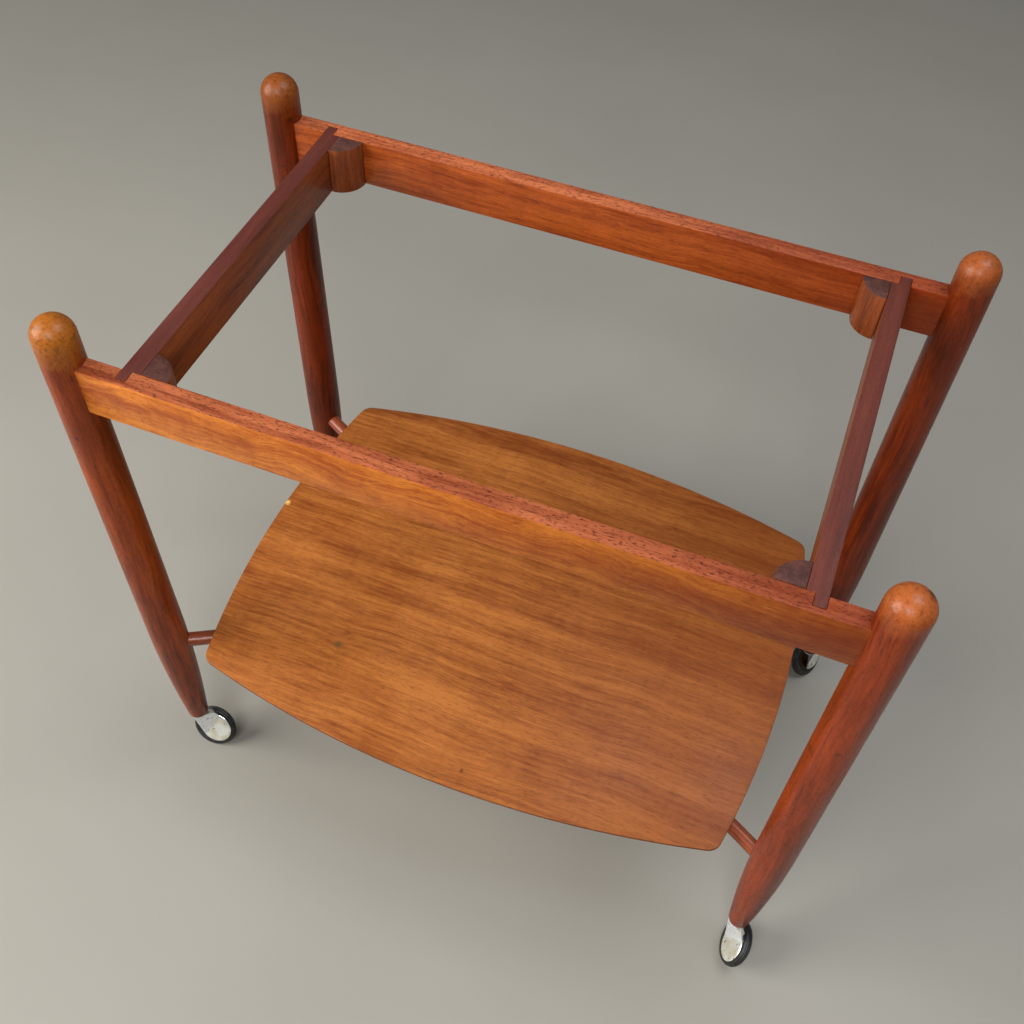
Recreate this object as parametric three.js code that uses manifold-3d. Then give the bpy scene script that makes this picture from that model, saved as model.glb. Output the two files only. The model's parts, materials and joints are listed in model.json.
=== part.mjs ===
// Serving trolley. Four turned posts carry an open frame of rails, which a loose tray would rest
// on, and a bowed shelf that lies on two crossed dowels. Each post stands on a swivel caster with
// one leaning wheel beside a pressed metal hood.
// Millimetres, +Z up, origin on the floor under the middle, +X along the long rails, +Y to the back.
import * as THREE from 'three';
import { mergeVertices } from 'three/addons/utils/BufferGeometryUtils.js';
import { ConvexGeometry } from 'three/addons/geometries/ConvexGeometry.js';
import Module from 'manifold-3d';

// Overall sizes
const POST_SPACING_X = 612; // between post axes, along the trolley
const POST_SPACING_Y = 337; // between post axes, front to back
const OVERALL_HEIGHT = 636; // floor to the top of the post domes

// Clearances
const JOINT_GAP = 0.3; // between a glued or seated piece and its neighbour
const RUNNING_GAP = 0.4; // between a turning piece and its bearing

// Posts
const POST_NECK_RADIUS = 16.9; // just under the dome
const POST_BELLY_RADIUS = 18; // thickest place
const POST_BELLY_HEIGHT = 235; // of the thickest place above the floor
const POST_FOOT_RADIUS = 10.4;
const POST_FOOT_ARRIS = 1; // broken edge round the foot
const POST_FOOT_SWEEP = 1.9; // exponent of the curve from belly to foot

// Long rails and their tenons
const RAIL_DROP = 40; // from the dome tops down to the rail tops
const RAIL_HEIGHT = 43.5;
const RAIL_THICKNESS = 16;
const TENON_THICKNESS = 8;
const TENON_SHOULDER = 6; // above and below the tenon
const TENON_STOP = 6; // from the post axis to the tenon's end

// Cross rails, housed in the long rails with a tongue on the outer face
const CROSS_RAIL_INSET = 45; // from the post axes in to the outer face
const CROSS_RAIL_THICKNESS = 15.2;
const TONGUE_THICKNESS = 9;
const TONGUE_DEPTH = 10.5; // into the long rail

const BLOCK_RADIUS = 22.5; // quarter-round corner blocks

// Crossed dowels under the shelf
const STRETCHER_RADIUS = 7.2;
const STRETCHER_HEIGHT = 203.5; // of the axis above the floor
const STRETCHER_STOP = 5; // from the post axis to the dowel's end

// Shelf
const SHELF_END_GAP = 28.3; // from the post axes in to the middle of a shelf end
const SHELF_SIDE_OVERHANG = 46.5; // from the post axes out to the middle of a shelf side
const SHELF_THICKNESS = 9;
const SHELF_EDGE = 3.5; // height of the upright part of the edge
const SHELF_BEVEL = 14; // width of the bevel under the edge
const SHELF_SIDE_BOW_RADIUS = 1020;
const SHELF_END_BOW_RADIUS = 880;
const SHELF_CORNER_RADIUS = 14;

// Screws that hold the shelf to the dowels from below
const SCREW_RADIUS = 1.9;
const SCREW_HEAD_RADIUS = 3.8;
const SCREW_BITE = 6; // into the shelf
const SCREW_SPREAD = 185; // from the middle of the trolley to each screw

// Caster wheel
const WHEEL_RADIUS = 24.5;
const WHEEL_WIDTH = 9;
const WHEEL_LEAN = THREE.MathUtils.degToRad(26); // of the axle, rising to the hood
const WHEEL_TRAIL = 11.3; // from the stem axis back to the wheel centre
const WHEEL_OFFSET = 4.9; // from the stem axis away from the hood
const TYRE_DEPTH = 8.2; // from the tread to the wheel core
const TREAD_GROOVE = 0.9;
const AXLE_RADIUS = 3;
const AXLE_HEAD_RADIUS = 5;
const AXLE_HEAD = 1.2;
const AXLE_SEAT = 1.2; // depth of the axle's end in the hood

// Caster hood, stem and socket
const HOOD_THICKNESS = 2.1;
const HOOD_RADIUS = 18;
const HOOD_RISE = 1.6; // of the disc's middle above the axle, along the disc
const HOOD_LAG = 3.3; // of the disc's middle behind the axle
const HOOD_GAP = 1; // between the tyre and the hood's disc
const HOOD_PAD_RADIUS = 7.2;
const HOOD_HEADROOM = 9.5; // between the tyre and the hood's pad
// The leg's two top corners in the hood's own X and Y, and how far each lies below the pad
const HOOD_CORNERS = [[9.5, -1.4, 0], [-4.2, 14.9, 3]];
const HOOD_WEB = 0.8; // share of the way from the stem to those corners where the leg's top ends
const STEM_RADIUS = 4;
const STEM_HEAD_RADIUS = 6;
const STEM_HEAD = 1.4;
const STEM_REACH = 30; // above the foot of the post
const WASHER_THICKNESS = 1.2;
const WASHER_RADIUS = 7.6;
const SOCKET_WALL = 1.1;
const SOCKET_REACH = 34;
const SOCKET_FLANGE = 1;
const SOCKET_FLANGE_RADIUS = 9.2;

// Facets round a turned piece
const FINE = 32;
const COARSE = 14;

const CORNERS = [
  { name: 'front_left', sideX: -1, sideY: -1, yaw: 275 },
  { name: 'front_right', sideX: 1, sideY: -1, yaw: 190 },
  { name: 'back_left', sideX: -1, sideY: 1, yaw: 300 },
  { name: 'back_right', sideX: 1, sideY: 1, yaw: 335 },
];

const wasm = await Module();
wasm.setup();

const group = new THREE.Group();

const lacqueredTeak = new THREE.MeshStandardMaterial({ color: 0x8a4522, roughness: 0.4, metalness: 0 });
const railTeak = new THREE.MeshStandardMaterial({ color: 0x9a5426, roughness: 0.5, metalness: 0 });
const shelfVeneer = new THREE.MeshStandardMaterial({ color: 0xa5622c, roughness: 0.45, metalness: 0 });
const endGrainTeak = new THREE.MeshStandardMaterial({ color: 0x6b4440, roughness: 0.6, metalness: 0 });
const chromePlate = new THREE.MeshStandardMaterial({ color: 0xc9cac8, roughness: 0.25, metalness: 1 });
const zincSteel = new THREE.MeshStandardMaterial({ color: 0x9a9a96, roughness: 0.4, metalness: 1 });
const bronzeCore = new THREE.MeshStandardMaterial({ color: 0x8a6a48, roughness: 0.45, metalness: 1 });
const blackRubber = new THREE.MeshStandardMaterial({ color: 0x1c1e1f, roughness: 0.7, metalness: 0 });

// A closed three.js geometry as a manifold-3d solid, ready to be cut or joined.
function solid(geometry) {
  const plain = geometry.clone();
  plain.deleteAttribute('normal');
  plain.deleteAttribute('uv');
  const merged = mergeVertices(plain, 1e-4);
  return new wasm.Manifold(new wasm.Mesh({
    numProp: 3,
    vertProperties: new Float32Array(merged.attributes.position.array),
    triVerts: new Uint32Array(merged.index.array),
  }));
}

// The geometry of a finished solid.
function geometryOf(finished) {
  const mesh = finished.getMesh();
  const geometry = new THREE.BufferGeometry();
  geometry.setAttribute('position', new THREE.BufferAttribute(mesh.vertProperties, 3));
  geometry.setIndex(new THREE.BufferAttribute(mesh.triVerts, 1));
  geometry.computeVertexNormals();
  return geometry;
}

function addPiece(parent, name, geometry, material) {
  const mesh = new THREE.Mesh(geometry, material);
  mesh.name = name;
  parent.add(mesh);
  return mesh;
}

// A box given by its lowest and highest corners.
function block(low, high) {
  const size = high.map((value, i) => value - low[i]);
  const middle = high.map((value, i) => (value + low[i]) / 2);
  return solid(new THREE.BoxGeometry(...size).translate(...middle));
}

// A turned solid about Z. The outline is a list of [radius, height] points.
function turned(outline, facets) {
  const points = outline.map(([radius, height]) => new THREE.Vector2(radius, height));
  return new THREE.LatheGeometry(points, facets).rotateX(Math.PI / 2);
}

// A round bar about Z between two heights.
function bar(radius, low, high, facets = COARSE) {
  return turned([[0, low], [radius, low], [radius, high], [0, high]], facets);
}

// Heights and places that follow from the sizes above
const halfX = POST_SPACING_X / 2;
const halfY = POST_SPACING_Y / 2;
const railTop = OVERALL_HEIGHT - RAIL_DROP;
const railBottom = railTop - RAIL_HEIGHT;
const crossOuter = halfX - CROSS_RAIL_INSET;
const crossInner = crossOuter - CROSS_RAIL_THICKNESS;
const railInnerFace = halfY - RAIL_THICKNESS / 2;
const shelfBottom = STRETCHER_HEIGHT + STRETCHER_RADIUS + JOINT_GAP;
const shelfTop = shelfBottom + SHELF_THICKNESS;
const stretcherAngle = Math.atan2(halfY, halfX);

// The tyre's section: radius, and distance along the axle towards the hood. Its shoulders are
// rounded, more on the side away from the hood, so the leaning wheel stands on its tread.
const half = WHEEL_WIDTH / 2;
const coreRadius = WHEEL_RADIUS - TYRE_DEPTH;
const TREAD = [
  [WHEEL_RADIUS - 3.6, -half],
  [WHEEL_RADIUS - 1.7, -half + 1.2],
  [WHEEL_RADIUS - 0.5, -half + 3],
  [WHEEL_RADIUS, -half + 4.4],
  [WHEEL_RADIUS - TREAD_GROOVE, -half + 5],
  [WHEEL_RADIUS, -half + 5.6],
  [WHEEL_RADIUS - 0.2, half - 2.6],
  [WHEEL_RADIUS - 0.3 - TREAD_GROOVE, half - 2],
  [WHEEL_RADIUS - 0.6, half - 1.4],
  [WHEEL_RADIUS - 1.4, half - 0.6],
  [WHEEL_RADIUS - 2.8, half],
];
const leanSin = Math.sin(WHEEL_LEAN);
const leanCos = Math.cos(WHEEL_LEAN);
const wheelHeight = Math.max(...TREAD.map(([radius, along]) => radius * leanCos - along * leanSin));
const wheelTop = wheelHeight + Math.max(...TREAD.map(([radius, along]) => radius * leanCos + along * leanSin));
const padBottom = wheelTop + HOOD_HEADROOM;
const padTop = padBottom + HOOD_THICKNESS;
const washerBottom = padTop + RUNNING_GAP;
const flangeBottom = washerBottom + WASHER_THICKNESS + RUNNING_GAP;
const footHeight = flangeBottom + SOCKET_FLANGE + JOINT_GAP;
const boreRadius = STEM_RADIUS + RUNNING_GAP;
const socketRadius = boreRadius + SOCKET_WALL;

// Radius of a post at a height: a straight taper from neck to belly, then a sweep in to the foot.
function postRadiusAt(height) {
  if (height >= POST_BELLY_HEIGHT) {
    const rise = (height - POST_BELLY_HEIGHT) / (OVERALL_HEIGHT - POST_NECK_RADIUS - POST_BELLY_HEIGHT);
    return THREE.MathUtils.lerp(POST_BELLY_RADIUS, POST_NECK_RADIUS, Math.min(rise, 1));
  }
  const fall = (POST_BELLY_HEIGHT - height) / (POST_BELLY_HEIGHT - footHeight);
  return THREE.MathUtils.lerp(POST_BELLY_RADIUS, POST_FOOT_RADIUS, fall ** POST_FOOT_SWEEP);
}

function postOutline() {
  const domeHeight = OVERALL_HEIGHT - POST_NECK_RADIUS;
  const outline = [[0, footHeight], [POST_FOOT_RADIUS - POST_FOOT_ARRIS, footHeight]];
  outline.push([postRadiusAt(footHeight + POST_FOOT_ARRIS), footHeight + POST_FOOT_ARRIS]);
  for (let i = 1; i <= 6; i += 1) {
    const height = THREE.MathUtils.lerp(footHeight, POST_BELLY_HEIGHT, i / 6);
    outline.push([postRadiusAt(height), height]);
  }
  for (let i = 0; i <= 6; i += 1) {
    const angle = (i / 6) * (Math.PI / 2);
    const radius = i === 6 ? 0 : POST_NECK_RADIUS * Math.cos(angle);
    outline.push([radius, domeHeight + POST_NECK_RADIUS * Math.sin(angle)]);
  }
  return outline;
}

// A tenon's place along X, given which end it is at. The mortise is larger by the joint gap.
function tenonBox(side, gap) {
  const inner = side * (halfX - POST_NECK_RADIUS - TENON_SHOULDER);
  const end = side * (halfX - TENON_STOP + gap);
  const halfWidth = TENON_THICKNESS / 2 + gap;
  const low = [Math.min(inner, end), -halfWidth, railBottom + TENON_SHOULDER - gap];
  const high = [Math.max(inner, end), halfWidth, railTop - TENON_SHOULDER + gap];
  return block(low, high);
}

// The dowel between two opposite posts, about X, turned to its diagonal.
function stretcherBar(turn, radius, reach) {
  const length = Math.hypot(halfX, halfY) - reach;
  const rod = bar(radius, -length, length).rotateY(Math.PI / 2).rotateZ(turn);
  return rod.translate(0, 0, STRETCHER_HEIGHT);
}

// A screw's place on a corner's dowel
function screwPlace({ sideX, sideY }) {
  return [sideX * SCREW_SPREAD * Math.cos(stretcherAngle), sideY * SCREW_SPREAD * Math.sin(stretcherAngle)];
}

// Countersunk screw, head flush with the underside of the dowel.
function screwGeometry(gap) {
  const headBottom = STRETCHER_HEIGHT - STRETCHER_RADIUS + 0.6 - gap;
  const tip = shelfBottom + SCREW_BITE + gap;
  const cone = SCREW_HEAD_RADIUS - SCREW_RADIUS;
  return turned([
    [0, headBottom],
    [SCREW_HEAD_RADIUS + gap, headBottom],
    [SCREW_HEAD_RADIUS + gap, headBottom + 0.5 + gap],
    [SCREW_RADIUS + gap, headBottom + 0.5 + cone + gap],
    [SCREW_RADIUS + gap, tip],
    [0, tip],
  ], COARSE);
}

// Shelf outline: two long bowed sides, two short bowed ends and rounded corners. The inset moves
// every edge in, for the underside inside the bevel.
function shelfOutline(inset) {
  const corner = SHELF_CORNER_RADIUS;
  const sideRadius = SHELF_SIDE_BOW_RADIUS - inset;
  const endRadius = SHELF_END_BOW_RADIUS - inset;
  const sideCentre = halfY + SHELF_SIDE_OVERHANG - SHELF_SIDE_BOW_RADIUS;
  const endCentre = halfX - SHELF_END_GAP - SHELF_END_BOW_RADIUS;
  // The corner's arc touches both bows, so its centre is a known distance from each bow's centre.
  const toSide = sideRadius - corner;
  const toEnd = endRadius - corner;
  const span = Math.hypot(endCentre, sideCentre);
  const along = (toSide ** 2 - toEnd ** 2 + span ** 2) / (2 * span);
  const across = Math.sqrt(toSide ** 2 - along ** 2);
  const unitX = endCentre / span;
  const unitY = -sideCentre / span;
  const cornerX = along * unitX + across * unitY;
  const cornerY = sideCentre + along * unitY - across * unitX;
  const endTurn = Math.atan2(cornerY, cornerX - endCentre);
  const sideTurn = Math.atan2(cornerY - sideCentre, cornerX);
  const quadrant = [];
  const arc = (x, y, radius, from, to, steps) => {
    for (let i = 0; i <= steps; i += 1) {
      const angle = from + ((to - from) * i) / steps;
      quadrant.push([x + radius * Math.cos(angle), y + radius * Math.sin(angle)]);
    }
  };
  arc(endCentre, 0, endRadius, 0, endTurn, 5);
  arc(cornerX, cornerY, corner, endTurn, sideTurn, 6);
  arc(0, sideCentre, sideRadius, sideTurn, Math.PI / 2, 8);
  return quadrant;
}

function shelfRing(inset, height) {
  return shelfOutline(inset).flatMap(([x, y]) => [
    new THREE.Vector3(x, y, height),
    new THREE.Vector3(-x, y, height),
    new THREE.Vector3(-x, -y, height),
    new THREE.Vector3(x, -y, height),
  ]);
}

// Posts, bored and mortised for what enters them
for (const corner of CORNERS) {
  const { name, sideX, sideY } = corner;
  const socketHole = bar(socketRadius + JOINT_GAP, footHeight - 1, footHeight + SOCKET_REACH + JOINT_GAP);
  const mortise = tenonBox(sideX, JOINT_GAP).translate(-sideX * halfX, 0, 0);
  const dowelHole = stretcherBar(sideX * sideY * stretcherAngle, STRETCHER_RADIUS + JOINT_GAP,
    STRETCHER_STOP - JOINT_GAP).translate(-sideX * halfX, -sideY * halfY, 0);
  const post = solid(turned(postOutline(), FINE))
    .subtract(solid(socketHole))
    .subtract(mortise)
    .subtract(solid(dowelHole));
  const mesh = addPiece(group, `post_${name}`, geometryOf(post), lacqueredTeak);
  mesh.position.set(sideX * halfX, sideY * halfY, 0);
}

// Long rails: shoulders coped to the round posts, stub tenons, and housings for the cross rails
for (const [name, side] of [['front', -1], ['back', 1]]) {
  const halfThickness = RAIL_THICKNESS / 2;
  const cope = postRadiusAt(railBottom) + JOINT_GAP;
  let rail = block([-halfX, -halfThickness, railBottom], [halfX, halfThickness, railTop]);
  for (const end of [-1, 1]) {
    const postRound = bar(cope, railBottom - 1, railTop + 1, FINE).translate(end * halfX, 0, 0);
    rail = rail.subtract(solid(postRound));
  }
  for (const end of [-1, 1]) {
    rail = rail.add(tenonBox(end, 0));
    const housingX = [end * (crossOuter + JOINT_GAP), end * (crossOuter - TONGUE_THICKNESS - JOINT_GAP)];
    const inner = -side * (halfThickness + 1);
    const floor = -side * (halfThickness - TONGUE_DEPTH - JOINT_GAP);
    const low = [Math.min(...housingX), Math.min(inner, floor), railBottom - 1];
    const high = [Math.max(...housingX), Math.max(inner, floor), railTop + 1];
    rail = rail.subtract(block(low, high));
  }
  const mesh = addPiece(group, `long_rail_${name}`, geometryOf(rail), railTeak);
  mesh.position.y = side * halfY;
}

// Cross rails with a tongue at each end, flush with the outer face
for (const [name, side] of [['left', -1], ['right', 1]]) {
  const shoulder = railInnerFace - JOINT_GAP;
  const tongueEnd = railInnerFace + TONGUE_DEPTH;
  const body = block([crossInner, -shoulder, railBottom], [crossOuter, shoulder, railTop]);
  const tongues = block([crossOuter - TONGUE_THICKNESS, -tongueEnd, railBottom], [crossOuter, tongueEnd, railTop]);
  const geometry = geometryOf(body.add(tongues));
  const mesh = addPiece(group, `cross_rail_${name}`, geometry, railTeak);
  mesh.rotation.z = side < 0 ? Math.PI : 0;
}

// Quarter-round blocks glued into the four corners of the frame
for (const { name, sideX, sideY } of CORNERS) {
  const quarter = new THREE.Shape();
  quarter.moveTo(0, 0);
  quarter.absarc(0, 0, BLOCK_RADIUS, Math.PI, Math.PI * 1.5, false);
  quarter.closePath();
  const geometry = new THREE.ExtrudeGeometry(quarter, { depth: RAIL_HEIGHT, bevelEnabled: false, curveSegments: 8 });
  const turn = { '1,1': 0, '-1,1': Math.PI / 2, '-1,-1': Math.PI, '1,-1': -Math.PI / 2 }[`${sideX},${sideY}`];
  const mesh = addPiece(group, `corner_block_${name}`, geometry, endGrainTeak);
  mesh.rotation.z = turn;
  mesh.position.set(sideX * (crossInner - JOINT_GAP), sideY * (railInnerFace - JOINT_GAP), railBottom);
}

// Crossed dowels, halved over each other in the middle and bored for the shelf screws
for (const [name, turn, keepBelow] of [['stretcher_a', stretcherAngle, true], ['stretcher_b', -stretcherAngle, false]]) {
  const notchHalf = STRETCHER_RADIUS + JOINT_GAP;
  const notchLow = keepBelow ? -JOINT_GAP / 2 : -notchHalf;
  const notchHigh = keepBelow ? notchHalf : JOINT_GAP / 2;
  const notch = new THREE.BoxGeometry(notchHalf * 6, notchHalf * 2, notchHigh - notchLow)
    .rotateZ(-turn)
    .translate(0, 0, STRETCHER_HEIGHT + (notchLow + notchHigh) / 2);
  let rod = solid(stretcherBar(turn, STRETCHER_RADIUS, STRETCHER_STOP)).subtract(solid(notch));
  for (const corner of CORNERS.filter(({ sideX, sideY }) => Math.sign(turn) === sideX * sideY)) {
    const [x, y] = screwPlace(corner);
    rod = rod.subtract(solid(screwGeometry(JOINT_GAP).translate(x, y, 0)));
  }
  addPiece(group, name, geometryOf(rod), lacqueredTeak);
}

// Shelf with a bevel under its edge, bored blind for the screws
let shelf = solid(new ConvexGeometry([
  ...shelfRing(SHELF_BEVEL, shelfBottom),
  ...shelfRing(0, shelfTop - SHELF_EDGE),
  ...shelfRing(0, shelfTop),
]));
for (const corner of CORNERS) {
  const [x, y] = screwPlace(corner);
  shelf = shelf.subtract(solid(screwGeometry(JOINT_GAP).translate(x, y, 0)));
  const screw = addPiece(group, `shelf_screw_${corner.name}`, screwGeometry(0), zincSteel);
  screw.position.set(x, y, 0);
}
addPiece(group, 'shelf', geometryOf(shelf), shelfVeneer);

// Hood: a pad round the stem, a flat leg down one side and a round cover over the wheel's face.
// Its own X points to the hood side, Y to where the wheel trails, Z up.
function hoodSolid() {
  const discInner = half + HOOD_GAP;
  const toCaster = new THREE.Matrix4()
    .makeRotationY(Math.PI / 2 - WHEEL_LEAN)
    .setPosition(-WHEEL_OFFSET, WHEEL_TRAIL, wheelHeight);
  // On the disc, X runs down and Y to the trailing side. The leg joins it along a chord.
  const chordFrom = THREE.MathUtils.degToRad(172);
  const chordTo = THREE.MathUtils.degToRad(-42);
  const outline = new THREE.Shape();
  outline.absarc(-HOOD_RISE, HOOD_LAG, HOOD_RADIUS, chordTo, chordFrom, false);
  outline.closePath();
  const disc = new THREE.ExtrudeGeometry(outline, { depth: HOOD_THICKNESS, bevelEnabled: false, curveSegments: 15 })
    .translate(0, 0, discInner)
    .applyMatrix4(toCaster);
  const legPoints = [];
  for (const angle of [chordFrom, chordTo]) {
    for (const along of [discInner, discInner + HOOD_THICKNESS]) {
      const down = HOOD_RADIUS * Math.cos(angle) - HOOD_RISE;
      const back = HOOD_RADIUS * Math.sin(angle) + HOOD_LAG;
      legPoints.push(new THREE.Vector3(down, back, along).applyMatrix4(toCaster));
    }
  }
  const padPoints = [];
  for (const height of [padBottom, padTop]) {
    for (const [x, y, drop] of HOOD_CORNERS) {
      legPoints.push(new THREE.Vector3(x, y, height - drop));
      legPoints.push(new THREE.Vector3(x * HOOD_WEB, y * HOOD_WEB, height - drop * HOOD_WEB));
      padPoints.push(new THREE.Vector3(x, y, height - drop));
    }
    for (let i = 0; i < FINE; i += 1) {
      const angle = (i / FINE) * 2 * Math.PI;
      padPoints.push(new THREE.Vector3(HOOD_PAD_RADIUS * Math.cos(angle), HOOD_PAD_RADIUS * Math.sin(angle), height));
    }
  }
  const stemHole = bar(STEM_RADIUS + JOINT_GAP, padBottom - 1, padTop + 1);
  const headRoom = bar(STEM_HEAD_RADIUS + JOINT_GAP, padBottom - STEM_HEAD - 1, padBottom);
  const axleHole = bar(AXLE_RADIUS + JOINT_GAP, discInner - 1, discInner + AXLE_SEAT + JOINT_GAP)
    .applyMatrix4(toCaster);
  return solid(disc)
    .add(solid(new ConvexGeometry(legPoints)))
    .add(solid(new ConvexGeometry(padPoints)))
    .subtract(solid(stemHole))
    .subtract(solid(headRoom))
    .subtract(solid(axleHole));
}

const hoodGeometry = geometryOf(hoodSolid());
const hubBoss = half + HOOD_GAP - RUNNING_GAP;
const axleBore = AXLE_RADIUS + RUNNING_GAP;

const tyreGeometry = turned([
  [coreRadius + JOINT_GAP, -half + 0.8],
  ...TREAD,
  [coreRadius + JOINT_GAP, half - 0.8],
  [coreRadius + JOINT_GAP, -half + 0.8],
], FINE);

const coreGeometry = turned([
  [axleBore, -half + 1],
  [coreRadius - 3, -half + 1.6],
  [coreRadius, -half + 1.2],
  [coreRadius, half - 0.6],
  [AXLE_HEAD_RADIUS + 1, half - 1.2],
  [AXLE_HEAD_RADIUS, hubBoss],
  [axleBore, hubBoss],
  [axleBore, -half + 1],
], COARSE);

// The axle has a head behind the wheel, and its other end is pressed into a blind hole in the hood.
const rivetBack = -half + 1 - RUNNING_GAP;
const axleGeometry = turned([
  [0, rivetBack - AXLE_HEAD],
  [AXLE_HEAD_RADIUS - 1, rivetBack - AXLE_HEAD],
  [AXLE_HEAD_RADIUS, rivetBack],
  [AXLE_RADIUS, rivetBack],
  [AXLE_RADIUS, half + HOOD_GAP + AXLE_SEAT],
  [0, half + HOOD_GAP + AXLE_SEAT],
], COARSE);

const stemHeadTop = padBottom - JOINT_GAP;
const stemTop = footHeight + STEM_REACH;
const stemGeometry = turned([
  [0, stemHeadTop - STEM_HEAD],
  [STEM_HEAD_RADIUS - 0.8, stemHeadTop - STEM_HEAD],
  [STEM_HEAD_RADIUS, stemHeadTop],
  [STEM_RADIUS, stemHeadTop],
  [STEM_RADIUS, stemTop - 2],
  [STEM_RADIUS - 2, stemTop],
  [0, stemTop],
], COARSE);

const washerGeometry = turned([
  [boreRadius, washerBottom],
  [WASHER_RADIUS, washerBottom],
  [WASHER_RADIUS, washerBottom + WASHER_THICKNESS],
  [boreRadius, washerBottom + WASHER_THICKNESS],
  [boreRadius, washerBottom],
], COARSE);

const socketGeometry = turned([
  [boreRadius, flangeBottom],
  [SOCKET_FLANGE_RADIUS, flangeBottom],
  [SOCKET_FLANGE_RADIUS, flangeBottom + SOCKET_FLANGE],
  [socketRadius, flangeBottom + SOCKET_FLANGE],
  [socketRadius, footHeight + SOCKET_REACH],
  [boreRadius, footHeight + SOCKET_REACH],
  [boreRadius, flangeBottom],
], COARSE);

// Casters, each turned to its own heading
for (const { name, sideX, sideY, yaw } of CORNERS) {
  const caster = new THREE.Group();
  caster.position.set(sideX * halfX, sideY * halfY, 0);
  caster.rotation.z = THREE.MathUtils.degToRad(yaw);
  addPiece(caster, `caster_socket_${name}`, socketGeometry, zincSteel);
  addPiece(caster, `caster_washer_${name}`, washerGeometry, zincSteel);
  addPiece(caster, `caster_stem_${name}`, stemGeometry, zincSteel);
  addPiece(caster, `caster_hood_${name}`, hoodGeometry, chromePlate);
  const wheel = new THREE.Group();
  wheel.position.set(-WHEEL_OFFSET, WHEEL_TRAIL, wheelHeight);
  wheel.rotation.y = Math.PI / 2 - WHEEL_LEAN;
  addPiece(wheel, `caster_axle_${name}`, axleGeometry, zincSteel);
  addPiece(wheel, `wheel_core_${name}`, coreGeometry, bronzeCore);
  addPiece(wheel, `wheel_tyre_${name}`, tyreGeometry, blackRubber);
  caster.add(wheel);
  group.add(caster);
}

export default group;
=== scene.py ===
import json
import math

import bmesh
import bpy
from mathutils import Matrix, Vector


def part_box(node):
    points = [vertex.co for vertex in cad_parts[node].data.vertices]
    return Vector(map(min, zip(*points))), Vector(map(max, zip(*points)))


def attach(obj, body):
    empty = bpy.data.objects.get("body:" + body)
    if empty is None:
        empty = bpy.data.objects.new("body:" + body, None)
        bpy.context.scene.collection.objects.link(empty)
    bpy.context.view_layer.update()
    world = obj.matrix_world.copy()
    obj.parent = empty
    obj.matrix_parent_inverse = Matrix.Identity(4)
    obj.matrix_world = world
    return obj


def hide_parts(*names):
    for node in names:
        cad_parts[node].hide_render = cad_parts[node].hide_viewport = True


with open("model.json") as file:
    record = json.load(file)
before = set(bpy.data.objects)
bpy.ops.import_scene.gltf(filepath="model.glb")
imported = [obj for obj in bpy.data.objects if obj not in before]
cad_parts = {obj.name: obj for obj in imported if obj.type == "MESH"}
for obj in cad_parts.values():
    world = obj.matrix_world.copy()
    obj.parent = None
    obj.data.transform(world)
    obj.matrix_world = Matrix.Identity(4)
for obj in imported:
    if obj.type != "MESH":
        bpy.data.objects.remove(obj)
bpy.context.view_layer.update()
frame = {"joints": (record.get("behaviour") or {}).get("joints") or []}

# ----------------------------------------------------------
# Posts. Four lathe-turned lengths of solid teak, stained red-brown and lacquered, with a domed
# top that hands have rubbed back to lighter wood. Each is bored for the rail, dowel and caster.

CORNERS = ("front_left", "front_right", "back_left", "back_right")
NECK_RADIUS = 0.0169
FOOT_RADIUS = 0.0104
FOOT_ARRIS = 0.0010
BELLY_HEIGHT = 0.235
FOOT_SWEEP = 1.9


def srgb(code):
    """Linear RGBA of an sRGB hex colour."""
    channels = [int(code[i:i + 2], 16) / 255 for i in (1, 3, 5)]
    return [c / 12.92 if c <= 0.04045 else ((c + 0.055) / 1.055) ** 2.4 for c in channels] + [1.0]


def put(tree, kind, inputs=None, **settings):
    """Adds a node with its settings. An input takes a value, a socket or a node's first output."""
    made = tree.nodes.new(kind)
    for key, value in settings.items():
        setattr(made, key, value)
    for socket, value in (inputs or {}).items():
        if isinstance(value, bpy.types.Node):
            value = value.outputs[0]
        if isinstance(value, bpy.types.NodeSocket):
            tree.links.new(value, made.inputs[socket])
        else:
            made.inputs[socket].default_value = value
    return made


def blank_material(name):
    """A new material and its empty node tree."""
    material = bpy.data.materials.new(name)
    material.use_nodes = True
    material.node_tree.nodes.clear()
    return material, material.node_tree


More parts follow.
